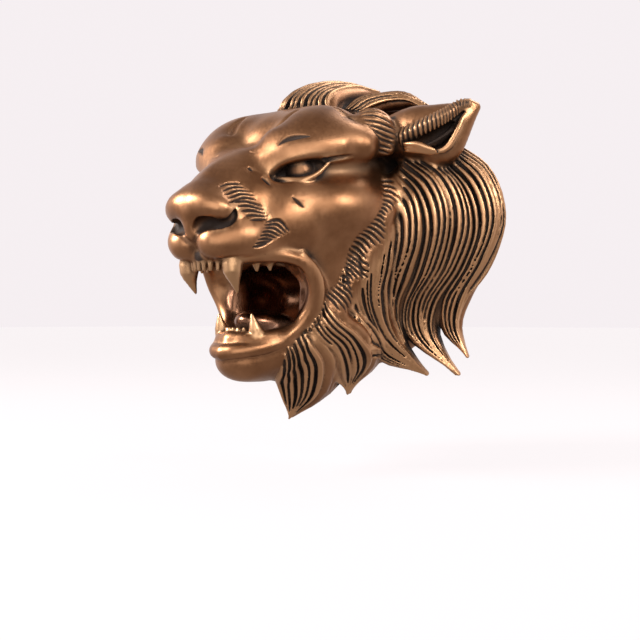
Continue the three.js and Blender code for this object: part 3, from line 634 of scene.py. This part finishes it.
def pads(left, right):
    """The mass under a lock, in ropes side by side and one behind another."""
    n = len(left) * 3
    a, b = curve(left, n), curve(right, n)
    gap = np.linalg.norm(a - b, axis=1)
    side_by_side = max(1, round(gap.max() / (1.2 * PAD_RADIUS)))
    rest = 1 - np.linspace(0, 1, n)
    out = []
    for depth in PAD_LAYERS:
        for i in range(side_by_side):
            s = (i + 0.5) / side_by_side
            p = a * (1 - s) + b * s
            radius = np.minimum(PAD_RADIUS, 0.5 * gap + 1) * np.minimum(1, 0.3 + 2.2 * rest)
            sunk = radius * 1.1 + 0.6 + depth * np.minimum(1, 3 * rest)
            rows = np.column_stack([p - outward(p) * sunk[:, None], np.maximum(1, radius)])
            out.append(Roll(rows, smooth=False))
    return out


def strands(c, left, right, count, swell):
    """The ropes of hair on a lock, kept just above what lies under them."""
    n = len(left) * 4
    a, b = curve(left, n), curve(right, n)
    t = np.linspace(0, 1, n)
    gap = np.linalg.norm(a - b, axis=1) / count
    ends = np.minimum(1, 0.35 + 4 * t) * np.minimum(1, 0.3 + 3 * (1 - t))
    out = []
    for i in range(count):
        s = (i + 0.5 + 0.16 * np.sin(4.4 * i + 5 * t) * np.minimum(1, 4 * (1 - t))) / count
        p = a * (1 - s)[:, None] + b * s[:, None]
        lift = swell * (1 - (2 * s - 1) ** 2) + 0.8 * np.sin(7.3 * i + 2.1 * t)
        p = c.drape(p + outward(p) * lift[:, None], 1.0, only_out=True)
        radius = np.minimum(4.0, STRAND_SHARE * gap) * (1 + 0.12 * math.sin(3.7 * i)) * ends
        out.append(Roll(np.column_stack([p, np.maximum(0.9, radius)]), smooth=False))
    return out


def partings(ropes):
    """The grooves between a lock's ropes, on their outer side."""
    out = []
    for a, b in zip(ropes[:-1], ropes[1:]):
        p = (a.points[:, :3] + b.points[:, :3]) / 2
        across = b.points[:, :3] - a.points[:, :3]
        gap = np.linalg.norm(across, axis=1)
        way = np.cross(np.gradient(p, axis=0), across)
        way /= np.maximum(np.linalg.norm(way, axis=1, keepdims=True), 1e-6)
        way *= np.where((way * outward(p)).sum(axis=1) < 0, -1, 1)[:, None]
        # a groove finer than the grid would break up into dots
        radius = np.where(gap > 3.2 * GRID, np.clip(PARTING_SHARE * gap, 1.05 * GRID, 1.6), 0.1)
        high = 0.35 * (a.points[:, 3] + b.points[:, 3]) / 2
        out.append(Roll(np.column_stack([p + way * (high + 0.4)[:, None], radius]), smooth=False))
    return out


def lay(c, locks):
    """Presses locks of hair onto the head: all the masses, then each lock's strands and grooves."""
    for left, right, _, _ in locks:
        c.both(pads(left, right), 4, None, False)
    laid = [strands(c, *lock) for lock in locks]
    for ropes in laid:
        c.both(ropes, 1.2, 4, False)
        c.score(partings(ropes))


def fringe(c):
    """Short spikes of hair where the cheek meets the mane."""
    on_face = [(98, 98, 62), (105, 113, 42), (105, 120, 26), (97, 125, 10), (85, 127, -6), (77, 134, -18),
               (71, 140, -32), (68, 146, -48)]
    in_mane = [(114, 80, 56), (119, 94, 32), (116, 99, 14), (107, 102, -6), (95, 104, -26), (89, 108, -42),
               (83, 112, -58), (77, 122, -76)]
    between = (curve(on_face, 16) + curve(in_mane, 16)) / 2
    under = between - outward(between) * 11.5
    c.pair(Roll(np.column_stack([under, np.full(len(under), 9.0)]), smooth=False), 10)
    c.score(hatch(c, on_face, in_mane, 30, 1.6, bow=(0, 0, 2), stagger=0.35))


def sculpt():
    c = Clay()
    for step in (base, face, muzzle, brow, nose, jaw, mouth, lips, tongue, teeth, eyes, slits, fur, tuft):
        step(c)
    lay(c, LOCKS)
    fringe(c)
    ears(c)
    c.unfold()
    lay(c, BEARD)
    return c


def skin(c):
    """The clay's surface as a mesh in the frame, cut off flat at the wall."""
    band = 3 * GRID
    field = np.maximum(c.field, -c.axes[1][None, :, None])
    grid = openvdb.FloatGrid(band)
    grid.copyFromArray(np.clip(field, -band, band).astype(np.float32))
    points, quads = grid.convertToQuads(isovalue=0.0)
    spots = points * GRID + c.low
    mesh = bpy.data.meshes.new("lion_mask_skin")
    # turning out from the wall into -Y mirrors the faces, so their corners run the other way round
    mesh.from_pydata((spots * (1, -1, 1) * MM).tolist(), [], quads[:, ::-1].tolist())
    mesh.polygons.foreach_set("use_smooth", np.ones(len(quads), bool))
    return mesh


def largest(mesh):
    """Deletes all but the largest connected body of a mesh."""
    edges = np.empty(2 * len(mesh.edges), np.int32)
    mesh.edges.foreach_get("vertices", edges)
    edges = edges.reshape(-1, 2)
    label = np.arange(len(mesh.vertices))
    while True:
        low = np.minimum(label[edges[:, 0]], label[edges[:, 1]])
        new = label.copy()
        np.minimum.at(new, edges[:, 0], low)
        np.minimum.at(new, edges[:, 1], low)
        new = new[new]
        if (new == label).all():
            break
        label = new
    keep = label == np.bincount(label).argmax()
    if keep.all():
        return
    bm = bmesh.new()
    bm.from_mesh(mesh)
    bm.verts.ensure_lookup_table()
    bmesh.ops.delete(bm, geom=[bm.verts[int(i)] for i in np.flatnonzero(~keep)], context="VERTS")
    bm.to_mesh(mesh)
    bm.free()


def thin(obj):
    """Collapses edges until the mesh has the wanted number of triangles."""
    obj.data.calc_loop_triangles()
    have = len(obj.data.loop_triangles)
    if have <= TRIANGLES:
        return
    modifier = obj.modifiers.new("thin", "DECIMATE")
    modifier.ratio = TRIANGLES / have
    shaped = bpy.data.meshes.new_from_object(obj.evaluated_get(bpy.context.evaluated_depsgraph_get()))
    obj.modifiers.clear()
    obj.data = shaped
    ways = np.empty(3 * len(shaped.polygons))
    shaped.polygons.foreach_get("normal", ways)
    # the cut at the wall stays flat
    shaped.polygons.foreach_set("use_smooth", ways[1::3] < 0.98)


def near_line(spots, c):
    """How close each place lies to a noted line, the bottom of a groove or a line of painted shade, from 0 to
    1.
    """
    rows = []
    for line in c.lines:
        length = np.linalg.norm(np.diff(line[:, :3], axis=0), axis=1).sum()
        rows.append(curve(line, int(length / LINE_STEP) + 2))
    rows = np.concatenate(rows)
    rows = rows[rows[:, 3] > THINNEST_LINE]
    tree = KDTree(len(rows))
    for i, row in enumerate(rows):
        tree.insert(row[:3], i)
    tree.balance()
    out = np.empty(len(spots))
    for i, spot in enumerate(spots):
        _, row, away = tree.find(spot)
        out[i] = 1.35 - away / (1.15 * rows[row, 3])
    return out


def wear_and_shade(mesh, c):
    """Stores on each vertex how far it lies in a groove or stands out, whether it is tooth or throat, the
    throat for painted shade inside the mouth, and how near it lies to a noted line.
    """
    n = len(mesh.vertices)
    spots, ways = np.empty(3 * n), np.empty(3 * n)
    mesh.vertices.foreach_get("co", spots)
    mesh.vertex_normals.foreach_get("vector", ways)
    spots = spots.reshape(-1, 3) / MM * (1, -1, 1)
    ways = ways.reshape(-1, 3) * (1, -1, 1)
    groove = np.zeros(n)
    stands = np.zeros(n)
    for reach in (2.0, 4.0, 7.0):
        groove += (1 - c.at(spots + ways * reach) / reach) / 3
        stands += (1 + c.at(spots - ways * reach) / reach) / 3
    # the flat back is plain and dull, without the wear of the edge round it
    back = spots[:, 1] < BACK_BAND
    groove[back] = 0.48
    stands[back] = 0.0
    # how far inside the mouth each place lies, for the painted shade there
    inside = Ball((0, 140, -58), (60, 78, 42)).distance(*spots.T)
    tooth = np.full(n, FAR)
    for shape in c.teeth:
        for a, b in shape.pieces():
            tooth = np.minimum(tooth, Roll.piece_distance(a, b, *spots.T))
    for name, value in (("groove", groove), ("stands", stands), ("mouth_shade", -inside / 14),
                        ("tooth", 1.2 - tooth), ("line", np.where(back, 0, near_line(spots, c)))):
        store = mesh.attributes.new(name, "FLOAT", "POINT")
        store.data.foreach_set("value", np.clip(value, 0, 1).astype(np.float32))


class Nodes:
    """Short forms for building a node tree."""

    def __init__(self, tree):
        self.tree = tree
        tree.nodes.clear()

    def new(self, kind, **settings):
        node = self.tree.nodes.new(kind)
        for name, value in settings.items():
            setattr(node, name, value)
        return node

    def link(self, out, socket):
        self.tree.links.new(out, socket)

    def attribute(self, name):
        return self.new("ShaderNodeAttribute", attribute_name=name).outputs["Fac"]

    def noise(self, vector, scale, detail=4.0, rough=0.5):
        node = self.new("ShaderNodeTexNoise")
        self.link(vector, node.inputs["Vector"])
        node.inputs["Scale"].default_value = scale
        node.inputs["Detail"].default_value = detail
        node.inputs["Roughness"].default_value = rough
        return node.outputs["Fac"]

    def stretch(self, vector, scale):
        node = self.new("ShaderNodeMapping")
        self.link(vector, node.inputs["Vector"])
        node.inputs["Scale"].default_value = scale
        return node.outputs["Vector"]

    def span(self, value, low, high, to_low=0.0, to_high=1.0):
        node = self.new("ShaderNodeMapRange", interpolation_type="SMOOTHSTEP")
        self.link(value, node.inputs["Value"])
        for name, number in zip(("From Min", "From Max", "To Min", "To Max"), (low, high, to_low, to_high)):
            node.inputs[name].default_value = number
        return node.outputs["Result"]

    def sum(self, kind, a, b, clamp=False):
        node = self.new("ShaderNodeMath", operation=kind, use_clamp=clamp)
        for socket, value in zip(node.inputs, (a, b)):
            if isinstance(value, (int, float)):
                socket.default_value = value
            else:
                self.link(value, socket)
        return node.outputs["Value"]

    def mix(self, share, a, b):
        node = self.new("ShaderNodeMix", data_type="RGBA")
        self.link(share, node.inputs["Factor"])
        for name, value in (("A", a), ("B", b)):
            socket = [s for s in node.inputs if s.name == name and s.type == "RGBA"][0]
            if isinstance(value, tuple):
                socket.default_value = (*value, 1)
            else:
                self.link(value, socket)
        return [s for s in node.outputs if s.type == "RGBA"][0]


def antique_brass():
    """Brass with black-brown patina in its grooves, rubbed bright where it stands out, with painted shade in
    broad hollows, round the eyes and inside the mouth.
    """
    material = bpy.data.materials.new("antique_brass")
    material.use_nodes = True
    n = Nodes(material.node_tree)
    place = n.new("ShaderNodeTexCoord").outputs["Object"]
    clouds = n.noise(place, 22, 5, 0.55)
    mottle = n.noise(place, 90, 4, 0.6)
    brushed = n.noise(n.stretch(place, (420, 420, 60)), 1.0, 3, 0.6)
    groove, stands, mouth_shade, line = (n.attribute(name) for name in ("groove", "stands", "mouth_shade", "line"))
    shelter = n.new("ShaderNodeAmbientOcclusion", samples=6, only_local=True)
    shelter.inputs["Distance"].default_value = 0.012
    hidden = n.sum("SUBTRACT", 1.0, shelter.outputs["AO"])

    # painted shade: how closed in each place is within 50 mm, used below to darken broad hollows
    broad_shade_ao = n.new("ShaderNodeAmbientOcclusion", samples=6, only_local=True)
    broad_shade_ao.inputs["Distance"].default_value = 0.05
    broad_shade = n.sum("SUBTRACT", 1.0, broad_shade_ao.outputs["AO"])

    # the patina gathers in grooves, thickens deep inside, and breaks up at its edge
    rough_edge = n.sum("ADD", hidden, n.sum("MULTIPLY", n.sum("SUBTRACT", mottle, 0.5), 0.22))
    patina = n.span(rough_edge, 0.08, 0.46)
    patina = n.sum("MAXIMUM", patina, n.span(groove, 0.25, 0.70, 0.0, 0.95))
    # the noted lines darken like patina: grooves, and painted shade round the eyes
    patina = n.sum("MAXIMUM", patina, n.span(line, 0.15, 0.85, 0.0, 0.97))
    tooth = n.attribute("tooth")
    patina = n.sum("MULTIPLY", patina, n.span(tooth, 0.2, 0.9, 1.0, 0.35))
    rubbed = n.span(n.sum("ADD", stands, n.sum("MULTIPLY", n.sum("SUBTRACT", clouds, 0.5), 0.25)), 0.10, 0.62)

    brown = n.mix(n.span(clouds, 0.35, 0.68), (0.27, 0.125, 0.058), (0.41, 0.205, 0.102))
    brass = n.mix(rubbed, brown, (0.62, 0.345, 0.178))
    brass = n.mix(tooth, brass, (0.54, 0.315, 0.165))
    # painted shade: broad hollows are browner than the open planes, the more so the more closed in they are
    painted_broad_shade = n.sum("ADD", broad_shade, n.sum("MULTIPLY", n.sum("SUBTRACT", clouds, 0.5), 0.7))
    brass = n.mix(n.span(painted_broad_shade, 0.14, 0.60, 0.0, 0.85), brass, (0.10, 0.046, 0.022))
    colour = n.mix(patina, brass, (0.022, 0.012, 0.008))
    # painted shade: the mouth's inside is a darker, glossier brown
    inside = n.sum("MULTIPLY", n.span(mouth_shade, 0.05, 0.55), n.span(tooth, 0.2, 0.9, 1.0, 0.0))
    colour = n.mix(n.sum("MULTIPLY", inside, 0.92), colour, (0.20, 0.098, 0.058))

    gloss = n.sum("ADD", n.span(brushed, 0.3, 0.7, 0.33, 0.42), n.sum("MULTIPLY", patina, 0.30))
    gloss = n.sum("SUBTRACT", gloss, n.sum("MULTIPLY", inside, 0.14))
    metal = n.sum("SUBTRACT", 1.0, n.sum("MULTIPLY", patina, 0.55))

    bump = n.new("ShaderNodeBump")
    bump.inputs["Strength"].default_value = 0.35
    bump.inputs["Distance"].default_value = 0.0006
    height = n.sum("ADD", n.sum("MULTIPLY", mottle, 0.6), n.sum("MULTIPLY", brushed, 0.25))
    n.link(height, bump.inputs["Height"])

    shader = n.new("ShaderNodeBsdfPrincipled")
    n.link(colour, shader.inputs["Base Color"])
    n.link(metal, shader.inputs["Metallic"])
    n.link(gloss, shader.inputs["Roughness"])
    n.link(bump.outputs["Normal"], shader.inputs["Normal"])
    n.link(shader.outputs["BSDF"], n.new("ShaderNodeOutputMaterial").inputs["Surface"])
    return material


def floor():
    """A plain pale floor under the head."""
    side, below = 20.0, 0.05
    level = CAD_BOX[0][2] - below
    mesh = bpy.data.meshes.new("floor")
    corners = [(x * side, y * side, level) for x, y in ((-1, -1), (1, -1), (1, 1), (-1, 1))]
    mesh.from_pydata(corners, [], [(0, 1, 2, 3)])
    obj = bpy.data.objects.new("floor", mesh)
    bpy.context.scene.collection.objects.link(obj)
    material = bpy.data.materials.new("pale_floor")
    material.use_nodes = True
    shader = material.node_tree.nodes["Principled BSDF"]
    shader.inputs["Base Color"].default_value = (0.06, 0.057, 0.058, 1)
    shader.inputs["Emission Color"].default_value = (0.90, 0.855, 0.865, 1)
    shader.inputs["Emission Strength"].default_value = 0.95
    shader.inputs["Roughness"].default_value = 0.9
    mesh.materials.append(material)
    # the pale floor would light the jaw from below
    obj.visible_glossy = False
    obj.visible_diffuse = False


def soft_light(name, place, size, power, colour=(1, 1, 1)):
    light = bpy.data.lights.new(name, "AREA")
    light.size = size
    light.energy = power
    light.color = colour
    obj = bpy.data.objects.new(name, light)
    obj.location = place
    obj.rotation_euler = (Vector((0, -0.12, 0)) - Vector(place)).to_track_quat("-Z", "Y").to_euler()
    bpy.context.scene.collection.objects.link(obj)


def studio():
    """A pale room, darker overhead, below and ahead to the lion's left, and four soft lights."""
    bpy.context.scene.view_settings.view_transform = "Standard"
    world = bpy.data.worlds.new("studio")
    bpy.context.scene.world = world
    world.use_nodes = True
    n = Nodes(world.node_tree)
    way = n.new("ShaderNodeTexCoord").outputs["Generated"]
    up = n.new("ShaderNodeSeparateXYZ")
    n.link(way, up.inputs["Vector"])
    aside = n.new("ShaderNodeVectorMath", operation="DOT_PRODUCT")
    n.link(way, aside.inputs[0])
    aside.inputs[1].default_value = (0.82, -0.57, 0)
    dusk = n.sum("MAXIMUM", n.span(up.outputs["Z"], 0.38, 0.92), n.span(aside.outputs["Value"], 0.20, 0.80))
    dusk = n.sum("MAXIMUM", dusk, n.span(up.outputs["Z"], -0.15, -0.60, 0.0, 0.8))
    tone = n.mix(dusk, (0.92, 0.865, 0.885), (0.32, 0.275, 0.25))
    background = n.new("ShaderNodeBackground")
    n.link(tone, background.inputs["Color"])
    background.inputs["Strength"].default_value = 1.0
    n.link(background.outputs["Background"], n.new("ShaderNodeOutputWorld").inputs["Surface"])
    soft_light("key", (-1.3, -1.7, 1.1), 1.0, 110)
    soft_light("side", (1.7, -0.5, 0.7), 0.7, 18)
    soft_light("fill", (1.1, -1.7, 0.1), 1.6, 16)
    soft_light("rim", (0.3, 0.9, 1.2), 0.8, 10)


def camera():
    """The photograph's view: level, from the head's left."""
    data = bpy.data.cameras.new("camera")
    data.sensor_width = 36
    data.lens = data.sensor_width * FOCAL_PIXELS / FRAME_PIXELS
    obj = bpy.data.objects.new("camera", data)
    turn = math.radians(CAMERA_TURN)
    right = Vector((math.cos(turn), math.sin(turn), 0))
    back = Vector((math.sin(turn), -math.cos(turn), 0))
    obj.location = right * CAMERA_ASIDE + back * CAMERA_AWAY + Vector((0, 0, CAMERA_UP))
    obj.rotation_euler = (math.pi / 2, 0, turn)
    bpy.context.scene.collection.objects.link(obj)
    bpy.context.scene.camera = obj


clay = sculpt()
lion = bpy.data.objects.new("lion_head", skin(clay))
bpy.context.scene.collection.objects.link(lion)
largest(lion.data)
thin(lion)
wear_and_shade(lion.data, clay)
lion.data.materials.append(antique_brass())
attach(lion, "root")
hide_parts("lion_mask")
floor()
studio()
camera()
